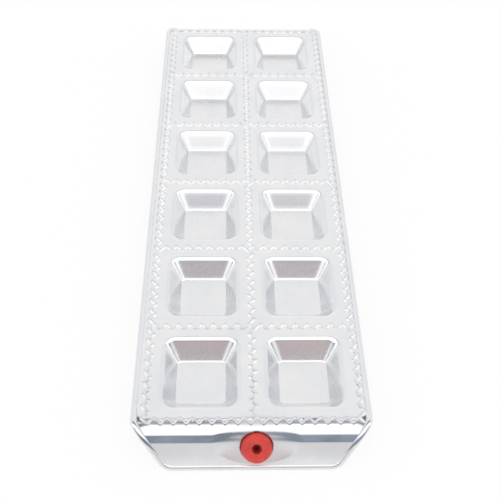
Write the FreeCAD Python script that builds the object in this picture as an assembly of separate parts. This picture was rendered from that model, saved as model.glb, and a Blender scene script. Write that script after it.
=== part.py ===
import FreeCAD, Part
import math
import os

from FreeCAD import Vector

# Ravioli mould: one pressed aluminium tray and a rubber plug in its front end.
# Millimetres. X is across, Y is along with the front end at -Y, Z is up.
# The origin is under the middle of the tray, on the surface it stands on.

# Cells
columns = 2
rows = 6
cell_width = 44.0
cell_length = 46.0
pattern_shift = 0.8
sheet = 1.0

# Wells
well_depth = 8.5
floor_half = 10.5
mouth_half_x = 16.0
mouth_half_y = 16.8
mouth_corner = 4.5
floor_corner = 1.6
mouth_round = 3.0
floor_round = 0.5

# Zigzag ridges
teeth_per_cell = 8.5
ridge_width = 1.1
ridge_height = 0.7
ridge_root = 0.3

# Edge bead
tray_width = 98.0
bead_radius = 1.45
bead_proud = 0.4
rest_flat = 1.6
rest_proud = 0.05

# End panels
panel_angle = math.radians(60.0)
bend_radius = 9.0
bend_margin = 0.1
panel_run = 20.8
shoulder_run = 0.6
foot_half = 34.9
shoulder_round = 8.0
foot_round = 5.0

# Plug and its seat
plug_end = -1
plug_shift = 1.85
plug_run = 11.6
dish_run = 9.4
dish_half_x = 18.0
dish_half_run = 9.8
dish_depth = 1.2
seat_radius = 6.4
seat_tilt = math.radians(18.0)
seat_sink = 2.3
hole_radius = 3.5
neck_clearance = 0.05
head_radius = 6.2
head_height = 4.2
head_round = 2.0
flange_radius = 4.8
flange_height = 2.0
flange_round = 0.6
funnel_radius = 2.1
funnel_depth = 1.5
bore_radius = 1.2
bore_depth = 5.0

# Fineness of curved routes, and margins of tools
shoulder_points = 4
diagonal_points = 6
foot_points = 6
overlap = 1.0
touch = 0.01

# Derived sizes
half_width = tray_width / 2.0
bead_half = half_width - bead_radius
bead_sink = bead_radius - bead_proud
bend_run = bend_radius * panel_angle
panel_length = panel_run - bend_margin - bend_run
pattern_half_x = columns * cell_width / 2.0
pattern_half_y = rows * cell_length / 2.0
panel_drop = bend_radius * (1.0 - math.cos(panel_angle)) + panel_length * math.sin(panel_angle)
top_height = panel_drop + bead_sink * math.cos(panel_angle) + bead_radius + rest_proud
block_depth = top_height + sheet
through = 3.0 * block_depth
step_x = cell_width / teeth_per_cell / 4.0
step_y = cell_length / teeth_per_cell / 4.0
steps_per_cell = int(round(teeth_per_cell * 4.0))


def surface_point(across, run, depth=0.0, end=1.0):
    """Point below the top surface, by the distance run past the last zigzag line."""
    angle = min(max((run - bend_margin) / bend_radius, 0.0), panel_angle)
    flat = min(run, bend_margin)
    slope = max(run - bend_margin - bend_run, 0.0)
    out = flat + bend_radius * math.sin(angle) + slope * math.cos(angle)
    down = bend_radius * (1.0 - math.cos(angle)) + slope * math.sin(angle)
    out -= depth * math.sin(angle)
    down += depth * math.cos(angle)
    return Vector(across, end * (pattern_half_y + out), top_height - down)


def corner_points(before, corner, after, radius, count):
    """Points of the arc that rounds a corner in the flat, from its start to its end."""
    arm_in = (corner - before).normalize()
    arm_out = (after - corner).normalize()
    turn = arm_in.getAngle(arm_out)
    reach = radius * math.tan(turn / 2.0)
    start = corner - arm_in * reach
    side = Vector(0, 0, 1).cross(arm_in)
    if side.dot(arm_out) < 0:
        side = side * -1.0
    centre = start + side * radius
    points = []
    for index in range(count + 1):
        swept = turn * index / count
        points.append(centre + arm_in * (radius * math.sin(swept)) - side * (radius * math.cos(swept)))
    return points


def end_route():
    """Flat route of the bead round one end corner: X is across, Y is the run."""
    side = Vector(bead_half, -shoulder_round, 0)
    shoulder = Vector(bead_half, shoulder_run, 0)
    foot = Vector(foot_half, panel_run, 0)
    middle = Vector(0, panel_run, 0)
    upper = corner_points(side, shoulder, foot, shoulder_round, shoulder_points)
    lower = corner_points(shoulder, foot, middle, foot_round, foot_points)
    span = lower[0] - upper[-1]
    between = [upper[-1] + span * (index / diagonal_points) for index in range(1, diagonal_points)]
    return upper + between + lower


def plan_outline():
    """Closed outline of the sheet in plan, which runs inside the bead all the way round."""
    quarters = []
    for side, end in ((1, -1), (-1, -1), (-1, 1), (1, 1)):
        points = [surface_point(side * p.x, p.y, sheet / 2.0, end) for p in end_route()]
        points = [Vector(p.x, p.y, 0) for p in points]
        curve = Part.BSplineCurve()
        curve.interpolate(Points=points, InitialTangent=Vector(0, end, 0), FinalTangent=Vector(-side, 0, 0))
        quarters.append((points, curve.toShape()))
    edges = [curve for points, curve in quarters]
    for first, second in ((0, 1), (2, 3)):
        edges.append(Part.makeLine(quarters[first][0][-1], quarters[second][0][-1]))
    for first, second in ((1, 2), (3, 0)):
        edges.append(Part.makeLine(quarters[first][0][0], quarters[second][0][0]))
    return Part.Wire(Part.__sortEdges__(edges))


def mirrored(shape, normal):
    return [shape, shape.mirror(Vector(0, 0, 0), normal)]


def bead_pieces():
    """The rolled edge as round bars, a little flat under each foot where it stands."""
    across = Vector(1, 0, 0)
    lengthwise = Vector(0, 1, 0)
    route = [surface_point(p.x, p.y, bead_sink, -1) for p in end_route()]
    rings = []
    for index, point in enumerate(route):
        if index == 0:
            along = Vector(0, -1, 0)
        elif index == len(route) - 1:
            along = Vector(-1, 0, 0)
        else:
            along = route[index + 1] - route[index - 1]
        rings.append(Part.Wire(Part.makeCircle(bead_radius, point, along)))
    corner = Part.makeLoft(rings, True, False)
    side = Part.makeCylinder(bead_radius, -2.0 * route[0].y, route[0], lengthwise)
    foot = Part.makeCylinder(bead_radius, 2.0 * route[-1].x, route[-1], across * -1.0)
    pad = Part.makeBox(2.0 * route[-1].x, rest_flat, route[-1].z,
                       Vector(-route[-1].x, route[-1].y - rest_flat / 2.0, 0))
    corners = [copy for half in mirrored(corner, across) for copy in mirrored(half, lengthwise)]
    return corners + mirrored(side, across) + mirrored(foot.fuse(pad), lengthwise)


def profile_block(depth):
    """Everything under the top surface, or under the sheet, as seen from the side."""
    bend_start = surface_point(0, bend_margin, depth)
    bend_middle = surface_point(0, bend_margin + bend_run / 2.0, depth)
    bend_end = surface_point(0, bend_margin + bend_run, depth)
    tip = surface_point(0, panel_run + through, depth)
    edges = []
    for mirror in (1, -1):
        flip = [Vector(p.x, mirror * p.y, p.z) for p in (bend_start, bend_middle, bend_end, tip)]
        edges.append(Part.Arc(flip[0], flip[1], flip[2]).toShape())
        edges.append(Part.makeLine(flip[2], flip[3]))
    edges.append(Part.makeLine(bend_start, Vector(0, -bend_start.y, bend_start.z)))
    edges.append(Part.makeLine(tip, Vector(0, -tip.y, tip.z)))
    face = Part.Face(Part.Wire(Part.__sortEdges__(edges)))
    face.translate(Vector(-tray_width, 0, 0))
    return face.extrude(Vector(2.0 * tray_width, 0, 0))


def panel_frame(end, run):
    """Point on the middle line of an end panel's plane, and the direction out of the panel."""
    above = bend_margin + bend_run - run
    slope = Vector(0, end * math.cos(panel_angle), -math.sin(panel_angle))
    outward = Vector(0, end * math.sin(panel_angle), math.cos(panel_angle))
    point = surface_point(plug_shift, bend_margin + bend_run, 0.0, end) - slope * above
    return point, outward, slope


def seat_frame(end):
    """Middle of a plug's seat, and the plug's axis, which leans up from the panel's own."""
    point, outward, slope = panel_frame(end, plug_run)
    axis = outward * math.cos(seat_tilt) - slope * math.sin(seat_tilt)
    return point - axis * seat_sink, axis


def seat_tool(end, depth):
    """What is pressed away round a plug: a shallow dish and a flat seat."""
    point, outward, slope = panel_frame(end, dish_run)
    curve_x = (dish_half_x ** 2 + dish_depth ** 2) / (2.0 * dish_depth)
    curve_run = (dish_half_run ** 2 + dish_depth ** 2) / (2.0 * dish_depth)
    centre = point + outward * (curve_x - dish_depth)
    dish = Part.makeTorus(curve_x - curve_run, curve_run + depth, centre, slope)
    seat, axis = seat_frame(end)
    return dish.fuse(Part.makeCylinder(seat_radius + depth, block_depth, seat - axis * depth, axis))


def rounded_square(half_x, half_y, radius, level):
    """Closed outline with rounded corners, centred on a cell."""
    edges = []
    corners = ((1, 1), (-1, 1), (-1, -1), (1, -1))
    diagonal = math.sqrt(0.5)
    ends = []
    for sign_x, sign_y in corners:
        centre = Vector(sign_x * (half_x - radius), sign_y * (half_y - radius), level)
        toward_x = centre + Vector(sign_x * radius, 0, 0)
        toward_y = centre + Vector(0, sign_y * radius, 0)
        middle = centre + Vector(sign_x * radius * diagonal, sign_y * radius * diagonal, 0)
        first, last = (toward_x, toward_y) if sign_x * sign_y > 0 else (toward_y, toward_x)
        ends.append((first, middle, last))
    for index, (first, middle, last) in enumerate(ends):
        edges.append(Part.Arc(first, middle, last).toShape())
        edges.append(Part.makeLine(last, ends[(index + 1) % 4][0]))
    return Part.Wire(edges)


def well_body(grow):
    """Tapered body of a well: the hollow itself, or the cup round it when grown."""
    run_x = mouth_half_x - floor_half
    run_y = mouth_half_y - floor_half
    thick_x = grow * math.hypot(run_x, well_depth) / well_depth
    thick_y = grow * math.hypot(run_y, well_depth) / well_depth
    outlines = []
    for level in (overlap, -(well_depth + grow)):
        part = 1.0 + level / well_depth
        half_x = floor_half + run_x * part + thick_x
        half_y = floor_half + run_y * part + thick_y
        radius = floor_corner + (mouth_corner - floor_corner) * part + grow
        outlines.append(rounded_square(half_x, half_y, radius, level))
    body = Part.makeLoft(outlines, True, True)
    bottom = [edge for edge in body.Edges if edge.BoundBox.ZMax < touch - well_depth - grow]
    return body.makeFillet(floor_round + grow, bottom)


def well_block(depth):
    """A cell of the block under a surface, with its well and the rounded mouth."""
    block = Part.makeBox(cell_width, cell_length, block_depth - depth,
                         Vector(-cell_width / 2.0, -cell_length / 2.0, -block_depth))
    body = block.cut(well_body(depth))
    mouth = []
    for edge in body.Edges:
        box = edge.BoundBox
        inside = max(box.XMax, -box.XMin) < cell_width / 2.0 - touch
        inside = inside and max(box.YMax, -box.YMin) < cell_length / 2.0 - touch
        if inside and box.ZMin > -depth - touch:
            mouth.append(edge)
    return body.makeFillet(mouth_round - depth, mouth)


def cell_sheet():
    """One cell of the pressed sheet, with its top surface at zero."""
    return well_block(0.0).cut(well_block(sheet))


def zigzag(points):
    """Flat-topped ridge that follows a zigzag, with mitred corners."""
    half = ridge_width / 2.0
    left = []
    right = []
    for index, point in enumerate(points):
        before = points[max(index - 1, 0)]
        after = points[min(index + 1, len(points) - 1)]
        arm_in = (point - before) if index else (after - point)
        arm_out = (after - point) if index < len(points) - 1 else arm_in
        arm_in = Vector(arm_in).normalize()
        arm_out = Vector(arm_out).normalize()
        normal = (Vector(-arm_in.y, arm_in.x, 0) + Vector(-arm_out.y, arm_out.x, 0)).normalize()
        reach = half / normal.dot(Vector(-arm_in.y, arm_in.x, 0))
        left.append(point + normal * reach)
        right.append(point - normal * reach)
    outline = left + right[::-1]
    face = Part.Face(Part.makePolygon(outline + outline[:1]))
    face.translate(Vector(0, 0, top_height - ridge_root))
    return face.extrude(Vector(0, 0, ridge_root + ridge_height))


def ridge_points(line, cells, lengthwise):
    """Corners of one zigzag line. Lines that cross share the slanted bar between them."""
    points = []
    for step in range(-1, steps_per_cell * cells + 2, 2):
        swing = -1 if ((step - 1) // 2 + line) % 2 == 0 else 1
        along = step
        across = line * steps_per_cell + swing
        x, y = (across, along) if lengthwise else (along, across)
        points.append(Vector(x * step_x - pattern_half_x + pattern_shift,
                             y * step_y - pattern_half_y, 0))
    return points


def ridges():
    lines = [zigzag(ridge_points(line, rows, True)) for line in range(columns + 1)]
    lines += [zigzag(ridge_points(line, columns, False)) for line in range(rows + 1)]
    return lines


def bent_skin():
    """The pressed sheet round the cells, with the end panels and the plug's seat."""
    top = profile_block(0.0)
    under = profile_block(sheet)
    top = top.cut(seat_tool(plug_end, 0.0))
    under = under.cut(seat_tool(plug_end, sheet))
    outline = Part.Face(plan_outline())
    outline.translate(Vector(0, 0, -block_depth))
    skin = top.cut(under).common(outline.extrude(Vector(0, 0, through)))
    window = Part.makeBox(2.0 * pattern_half_x, 2.0 * pattern_half_y, through,
                          Vector(pattern_shift - pattern_half_x, -pattern_half_y, -block_depth))
    return skin.cut(window)


def cell_grid():
    """All the cells side by side, their joints merged."""
    cell = cell_sheet()
    cells = []
    for column in range(columns):
        for row in range(rows):
            copy = cell.copy()
            copy.translate(Vector((column + 0.5) * cell_width - pattern_half_x + pattern_shift,
                                  (row + 0.5) * cell_length - pattern_half_y, top_height))
            cells.append(copy)
    return cells[0].multiFuse(cells[1:]).removeSplitter()


def mould_tray():
    tray = bent_skin().fuse(cell_grid())
    seat, axis = seat_frame(plug_end)
    tray = tray.cut(Part.makeCylinder(hole_radius, through, seat - axis * (through / 2.0), axis))
    lines = ridges()
    tray = tray.removeSplitter().fuse(lines[0].multiFuse(lines[1:]))
    beads = bead_pieces()
    return tray.fuse(beads[0].multiFuse(beads[1:]))


def plug(end):
    """Rubber plug turned about its own axis, then set into its seat."""
    neck_radius = hole_radius - neck_clearance
    seat, axis = seat_frame(end)
    head = Part.makeCylinder(head_radius, head_height)
    head = head.makeFillet(head_round, [edge for edge in head.Edges if edge.BoundBox.ZMin > head_height - touch])
    neck = Part.makeCylinder(neck_radius, sheet + flange_height / 2.0, Vector(0, 0, 0), Vector(0, 0, -1))
    flange = Part.makeCylinder(flange_radius, flange_height, Vector(0, 0, -sheet), Vector(0, 0, -1))
    flange = flange.makeFillet(flange_round, [edge for edge in flange.Edges
                                              if edge.BoundBox.ZMax < touch - sheet - flange_height])
    funnel = Part.makeCone(bore_radius, funnel_radius, funnel_depth, Vector(0, 0, head_height - funnel_depth))
    bore = Part.makeCylinder(bore_radius, bore_depth, Vector(0, 0, head_height - bore_depth))
    body = head.fuse([neck, flange]).removeSplitter().cut(funnel.fuse(bore))
    body.Placement = FreeCAD.Placement(seat, FreeCAD.Rotation(Vector(0, 0, 1), axis))
    return body


def save(name, shape):
    solids = shape.Solids
    print(name, shape.isValid(), len(solids), round(shape.Volume, 1), shape.BoundBox)
    (solids[0] if len(solids) == 1 else shape).exportStep("parts/%s.step" % name)


os.makedirs("parts", exist_ok=True)
save("mould_tray", mould_tray())
save("front_plug", plug(plug_end))
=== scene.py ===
import math

import bmesh
import bpy
import numpy as np
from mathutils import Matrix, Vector


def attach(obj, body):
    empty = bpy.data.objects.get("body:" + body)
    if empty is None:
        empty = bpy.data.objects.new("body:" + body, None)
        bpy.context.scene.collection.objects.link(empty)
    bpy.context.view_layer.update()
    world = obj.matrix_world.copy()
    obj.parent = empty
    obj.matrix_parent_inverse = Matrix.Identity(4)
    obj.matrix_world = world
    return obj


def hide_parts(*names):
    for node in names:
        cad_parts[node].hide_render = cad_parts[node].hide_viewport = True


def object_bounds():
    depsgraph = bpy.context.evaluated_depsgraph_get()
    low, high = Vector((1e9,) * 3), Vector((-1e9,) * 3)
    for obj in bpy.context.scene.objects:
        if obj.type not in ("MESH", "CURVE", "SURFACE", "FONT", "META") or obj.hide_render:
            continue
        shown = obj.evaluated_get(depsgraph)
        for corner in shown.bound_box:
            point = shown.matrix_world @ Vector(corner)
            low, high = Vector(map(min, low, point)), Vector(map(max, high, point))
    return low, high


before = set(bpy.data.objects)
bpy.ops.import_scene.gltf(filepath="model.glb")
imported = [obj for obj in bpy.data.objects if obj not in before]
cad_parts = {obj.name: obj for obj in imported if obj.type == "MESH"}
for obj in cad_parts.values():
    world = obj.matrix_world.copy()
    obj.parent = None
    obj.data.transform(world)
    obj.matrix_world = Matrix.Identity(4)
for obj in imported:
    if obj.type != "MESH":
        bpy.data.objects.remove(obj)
cad_low, cad_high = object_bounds()

# Lengths here are millimetres, turned into metres as each mesh is made. A run is a distance along
# the sheet past its last zigzag line, and pairs of runs or reaches say where something starts and ends.
MM = 0.001

# Cells
columns = 2
rows = 6
cell_width = 44.0
cell_length = 46.0
pattern_shift = 0.8
sheet = 1.0
land_sag = 0.03
margin_sag = 0.16
margin_fade = 12.0

# Wells, with one rounding of the floor's edge toward the sides and another toward the ends
well_depth = 8.5
floor_half = 10.5
mouth_half_x = 16.0
mouth_half_y = 16.8
mouth_corner = 5.2
floor_corner = 2.4
mouth_round = 3.0
side_floor_round = 0.5
end_floor_round = 2.0
floor_crown = 0.05

# Zigzag ridges, a little lower and softer than those of the solids
teeth_per_cell = 8.5
solid_ridge_height = 0.7
ridge_height = 0.55
ridge_core = 0.16
ridge_reach = 0.85
ridge_bury = 0.12

# Edge bead
bead_radius = 1.45
bead_half = cad_high.x / MM - bead_radius
bead_sink = 1.05
bead_pitch = 4.0
rest_flat = 0.2

# End panels, and how the sheet gives way at its ends and corners
panel_angle = math.radians(60.0)
bend_radius = 9.0
bend_margin = 0.1
panel_run = 20.8
shoulder_run = 0.6
foot_half = 34.9
shoulder_round = 8.0
foot_round = 5.0
end_drop = 0.25
end_drop_runs = (-1.8, 1.4)
corner_drop = 0.8
corner_reaches = (41.5, 48.0)
corner_start_runs = (-6.0, 1.0)
corner_end_runs = (6.0, 1.0)

# Dish and seat round the plug
plug_end = -1
plug_shift = 1.85
plug_run = 11.6
dish_run = 9.4
dish_half_x = 18.0
dish_half_run = 9.8
dish_depth = 1.2
dish_start_runs = (4.0, 8.0)
seat_radius = 6.4
seat_tilt = math.radians(18.0)
seat_sink = 2.3
seat_step = 0.3
hole_radius = 3.5

# Plug
head_radius = 6.2
head_height = 4.2
head_round = 2.0
head_flat_edge = 0.6
neck_radius = 3.45
flange_radius = 4.8
flange_height = 2.0
flange_round = 0.6
flange_bevel = 0.2
funnel_radius = 2.1
funnel_depth = 1.5
funnel_lip = 0.35
funnel_lip_out = 0.15
funnel_wall_in = 0.2
throat_out = 0.12
throat_above = 0.1
throat_below = 0.2
bore_radius = 1.2
bore_depth = 5.0
edge_round = 0.3

# Finish: how much rougher the metal gets down in the wells and round the plug, and the shade painted into the
# plug's funnel
well_roughness = 0.10
well_rough_depths = (3.0, 1.0)
well_rough_margins = (4.0, 0.0)
dish_roughness = 0.24
dull_reaches = (8.0, 17.0)
# Painted shade for the plug's funnel: its dark colour, and where it fades out round the funnel's rim
painted_funnel_shade = (0.30, 0.009, 0.005)
painted_funnel_shade_reaches = (-0.5, 0.15)

# Studio backdrop: brightness by the angle over the object from the front horizon
dome_strength = 1.3
sky_arch = ((0, 0.74), (27, 0.80), (33, 1.0), (97, 1.0), (99, 0.12),
            (105, 0.12), (108, 0.76), (150, 0.80), (180, 0.78))

# Dim zones of the backdrop: where each starts and ends in the direction's own x, y and z
rear_colour = (0.72, 0.735, 0.76)
rear_across = (0.15, 0.45)
rear_along = (0.0, 0.30)
rear_height = (0.98, 0.82)
flank_colour = (0.34, 0.37, 0.42)
flank_across = (0.70, 0.80)
flank_along = (-0.60, -0.50)
flank_back = (-0.28, -0.38)

# Cards: name, low and high edge as y and z, half width, colour, and for one its tint's swing and scale
cards = (("bend_card", (-152.0, 11.9), (-152.0, 22.4), 70.0, (0.19, 0.22, 0.27), (0.65, 1.75), 36.0),
         ("tooth_card", (-134.6, 36.0), (-129.6, 36.0), 60.0, (0.08, 0.09, 0.11)),
         ("hem_card", (-215.0, 0.5), (-215.0, 14.0), 90.0, (0.84, 0.84, 0.85)),
         ("warm_card", (-400.0, 60.0), (-400.0, 103.0), 140.0, (0.60, 0.45, 0.43)),
         ("middle_card", (-400.0, 103.0), (-400.0, 126.0), 140.0, (0.70, 0.61, 0.60)),
         ("upper_card", (-400.0, 126.0), (-400.0, 186.0), 140.0, (0.60, 0.52, 0.54)),
         ("cool_card", (-400.0, 186.0), (-400.0, 250.0), 140.0, (0.52, 0.55, 0.62)))

# Table, and how much of its own glow the camera and the metal see
table_half = 3000.0
glow_in_view = 0.87
glow_in_metal = 0.40

# Lamp and camera
lamp_size = (1200.0, 700.0)
lamp_energy = 0.8
lamp_place = (250.0, -50.0, 1200.0)
lamp_lean = 12.0
camera_place = (-9.2, -289.2, 293.65)
camera_turn = (41.12, -1.18, -1.02)
sensor_width = 36.0
focal_length = 55.296
near_clip = 10.0

# Fineness of the meshes
side_steps = 14
corner_steps = 8
land_steps = 6
margin_steps = 6
mouth_steps = 7
wall_steps = 4
floor_steps = 5
floor_rings = (0.8, 0.55, 0.3)
front_grid = (186, 52)
rear_grid = (80, 24)
grid_crowding = 1.15
shoulder_steps = 12
slant_steps = 12
foot_steps = 14
ridge_steps = 5
bead_sides = 20
turned_sides = 96
edge_steps = 4
head_steps = 10
flange_steps = 6
sheet_weld = 0.01
fine_weld = 0.001

# Derived sizes
bend_run = bend_radius * panel_angle
pattern_half_x = columns * cell_width / 2.0
pattern_half_y = rows * cell_length / 2.0
top_height = cad_high.z / MM - solid_ridge_height
step_x = cell_width / teeth_per_cell / 4.0
step_y = cell_length / teeth_per_cell / 4.0
steps_per_cell = int(round(teeth_per_cell * 4.0))


# Shapes of the pressed sheet

def share_between(value, start, finish):
    """How far a value has come from start to finish, held between 0 and 1."""
    return min(max((value - start) / (finish - start), 0.0), 1.0)


def smooth_between(value, start, finish):
    """The same share, with a soft start and a soft end."""
    share = share_between(value, start, finish)
    return share * share * (3.0 - 2.0 * share)


def surface_point(across, run, depth, end):
    """Point below the top surface, by the distance run past the last zigzag line."""
    angle = min(max((run - bend_margin) / bend_radius, 0.0), panel_angle)
    flat = min(run, bend_margin)
    slope = max(run - bend_margin - bend_run, 0.0)
    out = flat + bend_radius * math.sin(angle) + slope * math.cos(angle)
    down = bend_radius * (1.0 - math.cos(angle)) + slope * math.sin(angle)
    out -= depth * math.sin(angle)
    down += depth * math.cos(angle)
    return Vector((across, end * (pattern_half_y + out), top_height - down))


def rounded_turn(before, corner, after, radius, count):
    """Points of the arc that rounds a corner, from its start to its end."""
    arm_in = (corner - before).normalized()
    arm_out = (after - corner).normalized()
    turn = arm_in.angle(arm_out)
    start = corner - arm_in * (radius * math.tan(turn / 2.0))
    side = (arm_out - arm_in * arm_out.dot(arm_in)).normalized()
    points = []
    for index in range(count + 1):
        swept = turn * index / count
        forward = arm_in * (radius * math.sin(swept))
        points.append(start + forward + side * (radius * (1.0 - math.cos(swept))))
    return points


def end_route():
    """Flat route of the edge round one end corner: across, then the run."""
    side = Vector((bead_half, -shoulder_round))
    shoulder = Vector((bead_half, shoulder_run))
    foot = Vector((foot_half, panel_run))
    middle = Vector((0.0, panel_run))
    upper = rounded_turn(side, shoulder, foot, shoulder_round, shoulder_steps)
    lower = rounded_turn(shoulder, foot, middle, foot_round, foot_steps)
    between = [upper[-1].lerp(lower[0], index / slant_steps) for index in range(1, slant_steps)]
    return upper + between + lower


route = end_route()
route_runs = [point.y for point in route]
route_widths = [point.x for point in route]


def half_width_at(run):
    """Half width of the sheet at that distance past the last zigzag line."""
    if run >= panel_run:
        return route_widths[-1]
    return float(np.interp(run, route_runs, route_widths))


def sheet_drop(across, run):
    """How far the sheet gives way at its ends, and more at its four corners."""
    beside = smooth_between(abs(across), *corner_reaches)
    corner = beside * share_between(run, *corner_start_runs) * smooth_between(run, *corner_end_runs)
    return end_drop * smooth_between(run, *end_drop_runs) + corner_drop * corner


def dish_drop(across, run, end):
    """How far the panel is pressed in, as a shallow dish round the plug."""
    if end != plug_end:
        return 0.0
    part = ((across - plug_shift) / dish_half_x) ** 2 + ((run - dish_run) / dish_half_run) ** 2
    return dish_depth * max(1.0 - part, 0.0) * smooth_between(run, *dish_start_runs)


def seat_frame(end):
    """Middle of a plug's seat, and the plug's axis, which leans up from the panel's own."""
    point = surface_point(plug_shift, plug_run, 0.0, end)
    outward = surface_point(plug_shift, plug_run, -1.0, end) - point
    slope = surface_point(plug_shift, plug_run + 1.0, 0.0, end) - point
    axis = (outward * math.cos(seat_tilt) - slope * math.sin(seat_tilt)).normalized()
    return point - axis * seat_sink, axis


def pressed_point(across, run, end):
    """Point of an end panel, with the dish and the flat seat pressed into it."""
    drop = sheet_drop(across, run) + dish_drop(across, run, end)
    place = surface_point(across, run, drop, end)
    if end != plug_end:
        return place
    seat, axis = seat_frame(end)
    height = (place - seat).dot(axis)
    gap = (place - seat - axis * height).length - seat_radius
    return place - axis * (max(height, 0.0) * smooth_between(gap, seat_step / 2.0, -seat_step / 2.0))


class SheetMesh:
    """Collects points and faces of one mesh, and joins points that meet."""

    def __init__(self):
        self.mesh = bmesh.new()

    def point(self, place):
        return self.mesh.verts.new((place[0] * MM, place[1] * MM, place[2] * MM))

    def face(self, corners):
        distinct = []
        for corner in corners:
            if corner not in distinct:
                distinct.append(corner)
        if len(distinct) > 2:
            self.mesh.faces.new(distinct)

    def grid(self, lines, closed=False):
        """Faces between neighbouring lines of points, all of one length."""
        for first, second in zip(lines, lines[1:]):
            count = len(first)
            last = count if closed else count - 1
            for index in range(last):
                after = (index + 1) % count
                self.face([first[index], first[after], second[after], second[index]])

    def face_outward(self):
        bmesh.ops.recalc_face_normals(self.mesh, faces=self.mesh.faces)

    def build(self, name, weld=0.0):
        """The mesh as a smooth object, with points closer than weld joined."""
        if weld:
            bmesh.ops.remove_doubles(self.mesh, verts=self.mesh.verts, dist=weld * MM)
        data = bpy.data.meshes.new(name)
        for face in self.mesh.faces:
            face.smooth = True
        self.mesh.to_mesh(data)
        self.mesh.free()
        return place_object(name, data)


def place_object(name, data):
    """An object in the scene that shows the given mesh, lamp or camera."""
    made = bpy.data.objects.new(name, data)
    bpy.context.scene.collection.objects.link(made)
    return made


def cell_outline(half_x, half_y, radius):
    """Points round a square with rounded corners, and their directions outward."""
    points = []
    for quarter in range(4):
        turn = quarter * math.pi / 2.0
        sign_x = 1 if quarter in (0, 3) else -1
        sign_y = 1 if quarter in (0, 1) else -1
        for index in range(corner_steps + 1):
            angle = turn + math.pi / 2.0 * index / corner_steps
            points.append((sign_x * (half_x - radius) + radius * math.cos(angle),
                           sign_y * (half_y - radius) + radius * math.sin(angle),
                           math.cos(angle), math.sin(angle)))
        start = points[-1]
        length = 2.0 * ((half_y if quarter % 2 else half_x) - radius)
        along = (-math.sin(angle), math.cos(angle))
        for index in range(1, side_steps):
            reach = length * index / side_steps
            points.append((start[0] + along[0] * reach, start[1] + along[1] * reach,
                           math.cos(angle), math.sin(angle)))
    return points


def cell_border():
    """Points on the straight border of a cell, one for each point of a rounded outline."""
    points = []
    outline = cell_outline(mouth_half_x, mouth_half_y, mouth_corner)
    for index, (x, y, away_x, away_y) in enumerate(outline):
        part_x = x / mouth_half_x
        part_y = y / mouth_half_y
        if index % (corner_steps + side_steps) == corner_steps // 2:
            part_x = math.copysign(1.0, part_x)
            part_y = math.copysign(1.0, part_y)
        most = max(abs(part_x), abs(part_y))
        points.append((part_x / most * cell_width / 2.0, part_y / most * cell_length / 2.0))
    return points


def well_levels():
    """Outlines of a well from its mouth to its floor: half sizes, corner and depths."""
    tilt_x = math.atan2(well_depth, mouth_half_x - floor_half)
    tilt_y = math.atan2(well_depth, mouth_half_y - floor_half)
    levels = []
    for step in range(mouth_steps + 1):
        part = step / mouth_steps
        out = [mouth_round * (math.tan(tilt / 2.0) - math.sin(tilt * part)) for tilt in (tilt_x, tilt_y)]
        down = [mouth_round * (1.0 - math.cos(tilt * part)) for tilt in (tilt_x, tilt_y)]
        levels.append((mouth_half_x + out[0], mouth_half_y + out[1], mouth_corner + out[0], *down))
    top = levels[-1]
    bottom = []
    turns = ((side_floor_round, tilt_x), (end_floor_round, tilt_y))
    for step in range(floor_steps + 1):
        part = 1.0 - step / floor_steps
        out = [turn * (math.sin(tilt * part) - math.tan(tilt / 2.0)) for turn, tilt in turns]
        down = [well_depth - turn * (1.0 - math.cos(tilt * part)) for turn, tilt in turns]
        bottom.append((floor_half + out[0], floor_half + out[1], floor_corner + out[0], *down))
    for step in range(1, wall_steps):
        part = step / wall_steps
        levels.append(tuple(a + (b - a) * part for a, b in zip(top, bottom[0])))
    return levels + bottom


def add_cell(sheet_mesh, centre_x, centre_y):
    """One cell of the sheet: the land round a well, its walls and its floor."""
    rings = []
    levels = well_levels()
    mouth = cell_outline(*levels[0][:3])
    for step in range(land_steps):
        part = step / land_steps
        sag = land_sag * math.sin(math.pi * part)
        rings.append([(a[0] + (b[0] - a[0]) * part, a[1] + (b[1] - a[1]) * part, -sag)
                      for a, b in zip(cell_border(), mouth)])
    for half_x, half_y, corner, depth_x, depth_y in levels:
        rings.append([(x, y, -(depth_x * away_x ** 2 + depth_y * away_y ** 2))
                      for x, y, away_x, away_y in cell_outline(half_x, half_y, corner)])
    last = rings[-1]
    for part in floor_rings:
        rings.append([(x * part, y * part, z + floor_crown * (1.0 - part)) for x, y, z in last])
    lines = []
    for ring in rings:
        line = []
        for x, y, z in ring:
            drop = sheet_drop(centre_x + x, abs(centre_y + y) - pattern_half_y)
            line.append(sheet_mesh.point((centre_x + x, centre_y + y, top_height + z - drop)))
        lines.append(line)
    sheet_mesh.grid(lines, closed=True)
    middle = sheet_mesh.point((centre_x, centre_y, top_height - well_depth + floor_crown))
    for index, first in enumerate(lines[-1]):
        sheet_mesh.face([first, lines[-1][(index + 1) % len(lines[-1])], middle])


def border_steps():
    """Places along one cell side where the cells' border points lie, as fractions of it."""
    right = [y / cell_length + 0.5 for x, y in cell_border() if x > cell_width / 2.0 - fine_weld]
    return sorted(set(round(value, 6) for value in right))


def add_side_strips(sheet_mesh):
    """The margins between the outer cells and the edge bead."""
    places = []
    for row in range(rows):
        for fraction in border_steps():
            place = (row + fraction) * cell_length - pattern_half_y
            if not places or place > places[-1] + fine_weld:
                places.append(place)
    for side in (-1, 1):
        inner = pattern_shift + side * pattern_half_x
        lines = []
        for place in places:
            run = abs(place) - pattern_half_y
            outer = side * half_width_at(run)
            line = []
            for step in range(margin_steps + 1):
                part = step / margin_steps
                sag = margin_sag * math.sin(math.pi * part) * smooth_between(-run, 0.0, margin_fade)
                across = inner + (outer - inner) * part
                line.append(sheet_mesh.point((across, place, top_height - sag - sheet_drop(across, run))))
            lines.append(line[::side])
        sheet_mesh.grid(lines)


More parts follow.
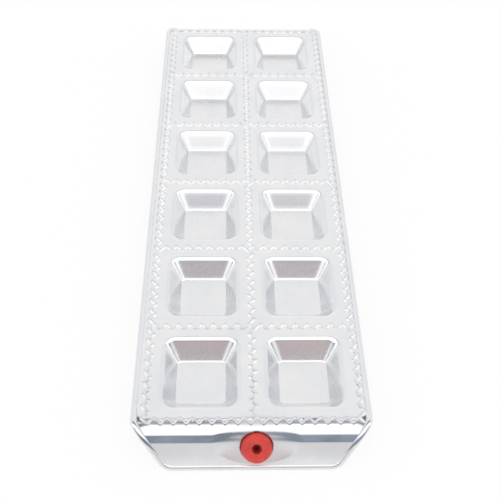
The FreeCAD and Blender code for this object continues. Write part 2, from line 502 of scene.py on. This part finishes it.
def places_across(count):
    """Places across the top of an end panel, which meet those of the side margins."""
    left, right = [pattern_shift + side * pattern_half_x for side in (-1, 1)]
    outer = half_width_at(0.0)
    places = [-outer + (left + outer) * step / margin_steps for step in range(margin_steps)]
    places += [left + (right - left) * step / count for step in range(count)]
    return places + [right + (outer - right) * step / margin_steps for step in range(margin_steps + 1)]


def add_end_panel(sheet_mesh, end):
    """The bend past the last zigzag line and the sloping panel below it."""
    lines = []
    count_across, count_down = front_grid if end == plug_end else rear_grid
    top_places = places_across(count_across)
    for row in range(count_down + 1):
        run = panel_run * (1.0 - (1.0 - row / count_down) ** grid_crowding)
        narrowing = half_width_at(run) / half_width_at(0.0)
        line = [sheet_mesh.point(pressed_point(place * narrowing, run, end)) for place in top_places]
        lines.append(line[::-end])
    sheet_mesh.grid(lines)


def cut_plug_hole(sheet_mesh):
    """Opens the sheet where the plug's neck passes, under the plug's head."""
    seat = seat_frame(plug_end)[0]
    doomed = [face for face in sheet_mesh.mesh.faces
              if (face.calc_center_median() - seat * MM).length < hole_radius * MM]
    bmesh.ops.delete(sheet_mesh.mesh, geom=doomed, context="FACES")


def make_sheet():
    """The whole pressed sheet, with its thickness."""
    sheet_mesh = SheetMesh()
    for column in range(columns):
        for row in range(rows):
            add_cell(sheet_mesh, (column + 0.5) * cell_width - pattern_half_x + pattern_shift,
                     (row + 0.5) * cell_length - pattern_half_y)
    add_side_strips(sheet_mesh)
    for end in (-1, 1):
        add_end_panel(sheet_mesh, end)
    cut_plug_hole(sheet_mesh)
    sheet_mesh.face_outward()
    piece = sheet_mesh.build("pressed_sheet", sheet_weld)
    thick = piece.modifiers.new("thickness", "SOLIDIFY")
    thick.thickness = sheet * MM
    thick.offset = -1.0
    return piece


# Zigzag ridges and rolled edge

def ridge_points(line, cells, lengthwise):
    """Corners of one zigzag line. Lines that cross share the slanted bar between them."""
    points = []
    for step in range(-1, steps_per_cell * cells + 2, 2):
        swing = -1 if ((step - 1) // 2 + line) % 2 == 0 else 1
        across = line * steps_per_cell + swing
        points.append((across, step) if lengthwise else (step, across))
    return points


def ridge_bars():
    """The slanted bars of all the zigzag lines, each one once."""
    lines = [ridge_points(line, rows, True) for line in range(columns + 1)]
    lines += [ridge_points(line, columns, False) for line in range(rows + 1)]
    bars = set()
    for points in lines:
        for first, second in zip(points, points[1:]):
            bars.add(tuple(sorted((first, second))))
    return sorted(bars)


def sheet_top(across, y):
    """Height of the sheet under a ridge, which follows the start of the bends."""
    run = abs(y) - pattern_half_y
    lean = share_between(run, bend_margin, bend_margin + bend_radius)
    return top_height - bend_radius * (1.0 - math.sqrt(1.0 - lean ** 2)) - sheet_drop(across, run)


def make_ridges():
    """The zigzag ridges: a rounded bump along every bar."""
    ridge_mesh = SheetMesh()
    profile = [(0.0, 1.0)]
    for step in range(ridge_steps + 1):
        part = step / ridge_steps
        reach = ridge_core + (ridge_reach - ridge_core) * part
        profile.append((reach, 0.5 + 0.5 * math.cos(math.pi * part) - ridge_bury * part))
    round_end = ridge_steps + 1
    for first, second in ridge_bars():
        ends = [Vector((x * step_x - pattern_half_x + pattern_shift, y * step_y - pattern_half_y))
                for x, y in (first, second)]
        along = (ends[1] - ends[0]).normalized()
        lines = []
        for reach, share in profile:
            line = []
            for index in range(2 * round_end):
                angle = math.pi * (index % round_end) / ridge_steps
                centre = ends[1] if index < round_end else ends[0]
                sense = 1.0 if index < round_end else -1.0
                side = Vector((along.y, -along.x)) * (math.cos(angle) * sense)
                place = centre + side * reach + along * (math.sin(angle) * sense * reach)
                level = sheet_top(place.x, place.y) + ridge_height * share
                line.append(ridge_mesh.point((place.x, place.y, level)))
            lines.append(line)
        ridge_mesh.grid(lines[::-1], closed=True)
    return ridge_mesh.build("zigzag_ridges", fine_weld)


def bead_corners():
    """Middle line of the rolled edge at its bends, with the sheet's outward direction there."""
    path = []
    for side, end in ((1, -1), (-1, -1), (-1, 1), (1, 1)):
        points = []
        for across, run in route:
            place = surface_point(side * across, run, bead_sink, end)
            above = surface_point(side * across, run, bead_sink - 1.0, end)
            points.append((place, above - place))
        path += points if side * end < 0 else points[::-1]
    return path


def bead_path():
    """The same line with points added along its long straights."""
    path = []
    for place, away in bead_corners():
        if path:
            before, away_before = path[-1]
            spans = (place - before).length // bead_pitch
            for step in range(1, int(spans)):
                part = step / spans
                path.append((before.lerp(place, part), away_before.lerp(away, part).normalized()))
        path.append((place, away))
    return path


def make_bead():
    """The rolled edge all the way round, a little flat under each foot where it stands."""
    path = bead_path()
    bead_mesh = SheetMesh()
    lines = []
    for index, (place, away) in enumerate(path):
        along = (path[(index + 1) % len(path)][0] - path[index - 1][0]).normalized()
        side = along.cross(away).normalized()
        up = side.cross(along)
        line = []
        for corner in range(bead_sides):
            angle = 2.0 * math.pi * corner / bead_sides
            spot = place + (up * math.cos(angle) + side * math.sin(angle)) * bead_radius
            if spot.z < rest_flat:
                spot.z = 0.0
            line.append(bead_mesh.point(spot))
        lines.append(line)
    bead_mesh.grid(lines + lines[:1], closed=True)
    bead_mesh.face_outward()
    return bead_mesh.build("rolled_edge", fine_weld)


# Rubber plug

def arc(centre_radius, centre_height, radius, start, finish, count):
    """Points of a profile's rounded corner, by radius and height, between two angles in degrees."""
    points = []
    for index in range(count + 1):
        angle = math.radians(start + (finish - start) * index / count)
        points.append((centre_radius + radius * math.cos(angle), centre_height + radius * math.sin(angle)))
    return points


def plug_profile():
    """Outline of the turned plug from the bottom of its bore round to the flange's back."""
    bore_floor = head_height - bore_depth
    throat = head_height - funnel_depth
    lip_height = head_height - funnel_lip
    flange_back = -sheet - flange_height
    points = [(0.0, bore_floor), (bore_radius - edge_round, bore_floor)]
    points += arc(bore_radius - edge_round, bore_floor + edge_round, edge_round, -90, 0, edge_steps)
    points += [(bore_radius, throat - throat_below), (bore_radius + throat_out, throat + throat_above)]
    points += [(funnel_radius - funnel_wall_in, lip_height)]
    points += arc(funnel_radius + funnel_lip_out, lip_height, funnel_lip, 150, 90, edge_steps)
    points += [(head_radius - head_round - head_flat_edge, head_height)]
    points += arc(head_radius - head_round, head_height - head_round, head_round, 90, 0, head_steps)
    points += arc(head_radius - edge_round, edge_round, edge_round, 0, -90, edge_steps)
    points += [(neck_radius, 0.0), (neck_radius, -sheet)]
    points += [(flange_radius - flange_bevel, -sheet), (flange_radius, -sheet - flange_bevel)]
    points += arc(flange_radius - flange_round, flange_back + flange_round, flange_round, 0, -90, flange_steps)
    points += [(0.0, flange_back)]
    return points


def make_plug(name, end):
    """The rubber plug turned about its own axis, in its seat on an end panel."""
    seat, outward = seat_frame(end)
    across = Vector((1.0, 0.0, 0.0))
    upward = outward.cross(across)
    plug_mesh = SheetMesh()
    lines = []
    for radius, height in plug_profile():
        line = []
        for index in range(turned_sides):
            angle = 2.0 * math.pi * index / turned_sides
            reach = across * (radius * math.cos(angle)) + upward * (radius * math.sin(angle))
            line.append(plug_mesh.point(seat + reach + outward * height))
        lines.append(line)
    plug_mesh.grid(lines, closed=True)
    bmesh.ops.remove_doubles(plug_mesh.mesh, verts=plug_mesh.mesh.verts, dist=fine_weld * MM)
    plug_mesh.face_outward()
    return plug_mesh.build(name)


# Materials, whose texture scales are per metre

class Nodes:
    """A node tree, with short ways to add and join nodes."""

    def __init__(self, tree):
        self.tree = tree

    def node(self, kind, **values):
        made = self.tree.nodes.new(kind)
        for key, value in values.items():
            if hasattr(made, key):
                setattr(made, key, value)
            else:
                made.inputs[key.replace("_", " ")].default_value = value
        return made

    def join(self, start, finish):
        self.tree.links.new(start, finish)

    def feed(self, socket, value):
        """Joins a socket to another one, or gives it a plain value."""
        if isinstance(value, bpy.types.NodeSocket):
            self.join(value, socket)
        else:
            socket.default_value = value

    def calculate(self, operation, *values, clamp=False):
        made = self.node("ShaderNodeMath", operation=operation, use_clamp=clamp)
        for socket, value in zip(made.inputs, values):
            self.feed(socket, value)
        return made.outputs[0]

    def vector(self, operation, first, second=(0.0, 0.0, 0.0)):
        made = self.node("ShaderNodeVectorMath", operation=operation)
        self.feed(made.inputs[0], first)
        self.feed(made.inputs[1], second)
        return made

    def split(self, vector):
        made = self.node("ShaderNodeSeparateXYZ")
        self.join(vector, made.inputs["Vector"])
        return made.outputs["X"], made.outputs["Y"], made.outputs["Z"]

    def spread(self, value, low, high, start=0.3, finish=0.7, kind="LINEAR"):
        """A value spread from its own range to another one, and held there."""
        made = self.node("ShaderNodeMapRange", interpolation_type=kind)
        made.inputs["From Min"].default_value = start
        made.inputs["From Max"].default_value = finish
        made.inputs["To Min"].default_value = low
        made.inputs["To Max"].default_value = high
        self.join(value, made.inputs["Value"])
        return made.outputs["Result"]

    def mix(self, share, first, second):
        """A colour between two, each of them plain or a socket."""
        made = self.node("ShaderNodeMix", data_type="RGBA")
        self.join(share, made.inputs["Factor"])
        self.feed(made.inputs["A"], first)
        self.feed(made.inputs["B"], second)
        return made.outputs["Result"]


class Shader(Nodes):
    """A material's node tree, with textures placed on the object itself."""

    def __init__(self, name):
        self.material = bpy.data.materials.new(name)
        self.material.use_nodes = True
        super().__init__(self.material.node_tree)
        self.surface = self.tree.nodes["Principled BSDF"]
        self.output = self.tree.nodes["Material Output"]

    def places(self, stretch=(1.0, 1.0, 1.0)):
        """Object coordinates, squeezed along some axes."""
        source = self.node("ShaderNodeTexCoord")
        mapping = self.node("ShaderNodeMapping")
        mapping.inputs["Scale"].default_value = stretch
        self.join(source.outputs["Object"], mapping.inputs["Vector"])
        return mapping.outputs["Vector"]

    def noise(self, vector, scale, detail=3.0, roughness=0.5):
        made = self.node("ShaderNodeTexNoise", Scale=scale, Detail=detail, Roughness=roughness)
        self.join(vector, made.inputs["Vector"])
        return made.outputs["Fac"]

    def tint(self, value, dark, light, start=0.3, finish=0.7):
        made = self.node("ShaderNodeValToRGB")
        for element, place, colour in zip(made.color_ramp.elements, (start, finish), (dark, light)):
            element.position = place
            element.color = (*colour, 1.0)
        self.join(value, made.inputs["Fac"])
        return made.outputs["Color"]

    def bump(self, height, distance, strength, below=None):
        made = self.node("ShaderNodeBump")
        made.inputs["Distance"].default_value = distance
        made.inputs["Strength"].default_value = strength
        self.join(height, made.inputs["Height"])
        if below is not None:
            self.join(below, made.inputs["Normal"])
        return made.outputs["Normal"]

    def from_plug(self):
        """Distance of each place from the plug's axis, in metres."""
        seat, axis = seat_frame(plug_end)
        offset = self.vector("SUBTRACT", self.places(), seat * MM)
        aside = self.vector("CROSS_PRODUCT", offset.outputs["Vector"], axis)
        return self.vector("LENGTH", aside.outputs["Vector"]).outputs["Value"]


def aluminium_roughness(shader, rolled):
    """Roughness of the metal: its rolling lines, the wells and the dull dish round the plug."""
    across, along, height = shader.split(shader.places())
    levels = [(top_height - depth) * MM for depth in well_rough_depths]
    ends = [(pattern_half_y - margin) * MM for margin in well_rough_margins]
    deep = shader.spread(height, 1.0, 0.0, *levels)
    within = shader.spread(shader.calculate("ABSOLUTE", along), 1.0, 0.0, *ends)
    in_well = shader.calculate("MULTIPLY", deep, within)
    worn = shader.calculate("MULTIPLY_ADD", in_well, well_roughness, shader.spread(rolled, 0.12, 0.18))
    dull = shader.spread(shader.from_plug(), dish_roughness, 0.0, *[reach * MM for reach in dull_reaches])
    return shader.calculate("ADD", worn, dull)


def aluminium():
    """Bright rolled sheet: fine lines from rolling, cloudy patches and a faint grain."""
    shader = Shader("aluminium_sheet")
    surface = shader.surface
    surface.inputs["Metallic"].default_value = 1.0
    cloud = shader.noise(shader.places(), scale=60.0, roughness=0.6)
    rolled = shader.noise(shader.places((1.0, 0.06, 1.0)), scale=1400.0, detail=2.0, roughness=0.6)
    grain = shader.noise(shader.places(), scale=2600.0, detail=2.0, roughness=0.7)
    shader.join(shader.tint(cloud, (0.77, 0.775, 0.79), (0.82, 0.82, 0.825)), surface.inputs["Base Color"])
    shader.join(aluminium_roughness(shader, rolled), surface.inputs["Roughness"])
    fine = shader.bump(grain, distance=0.01 * MM, strength=0.16)
    lines = shader.bump(rolled, distance=0.01 * MM, strength=0.03, below=fine)
    shader.join(lines, surface.inputs["Normal"])
    return shader.material


def red_rubber():
    """Soft red rubber: slightly mottled, matt with a soft sheen, and darkened in its funnel by painted shade.
    """
    shader = Shader("red_rubber")
    surface = shader.surface
    cloud = shader.noise(shader.places(), scale=380.0, detail=4.0, roughness=0.6)
    pores = shader.noise(shader.places(), scale=3200.0, detail=2.0, roughness=0.6)
    colour = shader.tint(cloud, (0.52, 0.028, 0.018), (0.68, 0.048, 0.030))
    # Painted shade: the funnel is coloured darker close to the plug's axis, standing in for the shadow down
    # the hole
    funnel_edge = [(funnel_radius + reach) * MM for reach in painted_funnel_shade_reaches]
    outside = shader.spread(shader.from_plug(), 0.0, 1.0, *funnel_edge)
    shader.join(shader.mix(outside, (*painted_funnel_shade, 1.0), colour), surface.inputs["Base Color"])
    shader.join(shader.spread(pores, 0.38, 0.56), surface.inputs["Roughness"])
    surface.inputs["Sheen Weight"].default_value = 0.05
    shader.join(shader.bump(pores, distance=0.03 * MM, strength=0.3), surface.inputs["Normal"])
    return shader.material


def white_table():
    """Plain white table that keeps the object's shadow and looks white to camera and metal."""
    shader = Shader("white_table")
    surface = shader.surface
    surface.inputs["Roughness"].default_value = 0.9
    surface.inputs["Specular IOR Level"].default_value = 0.0
    mottle = shader.noise(shader.places(), scale=3.0, detail=2.0)
    shader.join(shader.tint(mottle, (0.88, 0.88, 0.88), (0.9, 0.9, 0.9)), surface.inputs["Base Color"])
    glow = shader.node("ShaderNodeEmission", Strength=1.0)
    path = shader.node("ShaderNodeLightPath")
    share = shader.calculate("MULTIPLY", path.outputs["Is Camera Ray"], glow_in_view)
    for kind in ("Is Glossy Ray", "Is Transmission Ray"):
        share = shader.calculate("MULTIPLY_ADD", path.outputs[kind], glow_in_metal, share, clamp=True)
    mix = shader.node("ShaderNodeMixShader")
    shader.join(share, mix.inputs[0])
    shader.join(surface.outputs["BSDF"], mix.inputs[1])
    shader.join(glow.outputs["Emission"], mix.inputs[2])
    shader.join(mix.outputs["Shader"], shader.output.inputs["Surface"])
    return shader.material


# Studio

def flat_mesh(name, corners):
    """A mesh of one face."""
    data = bpy.data.meshes.new(name)
    data.from_pydata([[value * MM for value in corner] for corner in corners], [], [(0, 1, 2, 3)])
    return data


def make_table():
    """The floor that the object stands on."""
    corners = [(x * table_half, y * table_half, 0.0) for x, y in ((-1, -1), (1, -1), (1, 1), (-1, 1))]
    table = place_object("table", flat_mesh("table", corners))
    table.data.materials.append(white_table())


def make_world():
    """Studio round the object: white, and in reflections with a dark gap, dim corners and flanks."""
    world = bpy.data.worlds.new("studio")
    bpy.context.scene.world = world
    world.use_nodes = True
    backdrop = world.node_tree.nodes["Background"]
    studio = Nodes(world.node_tree)

    def zone(*limits):
        """Product of soft shares, each of how far a value has come from one limit to the other."""
        shares = [studio.spread(value, 0.0, 1.0, *ends, "SMOOTHSTEP") for value, ends in limits]
        product = shares[0]
        for share in shares[1:]:
            product = studio.calculate("MULTIPLY", product, share)
        return product

    across, along, height = studio.split(studio.node("ShaderNodeTexCoord").outputs["Generated"])
    arch = studio.calculate("ARCTAN2", height, studio.calculate("MULTIPLY", along, -1.0))
    ramp = studio.node("ShaderNodeValToRGB")
    elements = ramp.color_ramp.elements
    for index, (degrees, level) in enumerate(sky_arch):
        element = elements[index] if index < 2 else elements.new(degrees / 180.0)
        element.position = degrees / 180.0
        element.color = (level, level, level, 1.0)
    studio.join(studio.calculate("DIVIDE", arch, math.pi), ramp.inputs["Fac"])
    aside = studio.calculate("ABSOLUTE", across)
    rear = zone((aside, rear_across), (along, rear_along), (height, rear_height))
    flank = zone((aside, flank_across), (along, flank_along), (along, flank_back))
    in_view = studio.node("ShaderNodeLightPath").outputs["Is Camera Ray"]
    white = (1.0 / dome_strength,) * 3
    shade = ramp.outputs["Color"]
    for share, colour in ((rear, rear_colour), (flank, flank_colour), (in_view, white)):
        shade = studio.mix(share, shade, (*colour, 1.0))
    studio.join(shade, backdrop.inputs["Color"])
    backdrop.inputs["Strength"].default_value = dome_strength


def make_card(name, low, high, half, colour, swing=(0.9, 1.0), scale=14.0):
    """A card near the object that only its reflections show, between two edges along X."""
    card = place_object(name, flat_mesh(name, [(-half, *low), (half, *low), (half, *high), (-half, *high)]))
    shader = Shader(name)
    shader.tree.nodes.remove(shader.surface)
    glow = shader.node("ShaderNodeEmission", Strength=1.0)
    dark, light = [[share * part for part in colour] for share in swing]
    shader.join(shader.tint(shader.noise(shader.places(), scale), dark, light), glow.inputs["Color"])
    shader.join(glow.outputs["Emission"], shader.output.inputs["Surface"])
    card.data.materials.append(shader.material)
    card.visible_camera = False
    card.visible_diffuse = False
    card.visible_shadow = False
    card.visible_transmission = False


def make_lamp():
    """A wide soft lamp high over the object."""
    data = bpy.data.lights.new("softbox", "AREA")
    data.shape = "RECTANGLE"
    data.size, data.size_y = [side * MM for side in lamp_size]
    data.energy = lamp_energy
    lamp = place_object("softbox", data)
    lamp.location = Vector(lamp_place) * MM
    lamp.rotation_euler = (0.0, math.radians(lamp_lean), 0.0)


def make_camera():
    """The photograph's own view."""
    data = bpy.data.cameras.new("camera")
    data.sensor_width = sensor_width
    data.lens = focal_length
    data.clip_start = near_clip * MM
    camera = place_object("camera", data)
    camera.location = Vector(camera_place) * MM
    camera.rotation_euler = [math.radians(turn) for turn in camera_turn]
    bpy.context.scene.camera = camera


# Assembly

metal = aluminium()
rubber = red_rubber()
for tray_piece in (make_sheet(), make_ridges(), make_bead()):
    tray_piece.data.materials.append(metal)
    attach(tray_piece, "root")
    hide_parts("mould_tray")
plug_piece = make_plug("front_plug_turned", plug_end)
plug_piece.data.materials.append(rubber)
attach(plug_piece, "root")
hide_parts("front_plug")

make_table()
make_world()
for card in cards:
    make_card(*card)
make_lamp()
make_camera()
bpy.context.scene.view_settings.view_transform = "Standard"
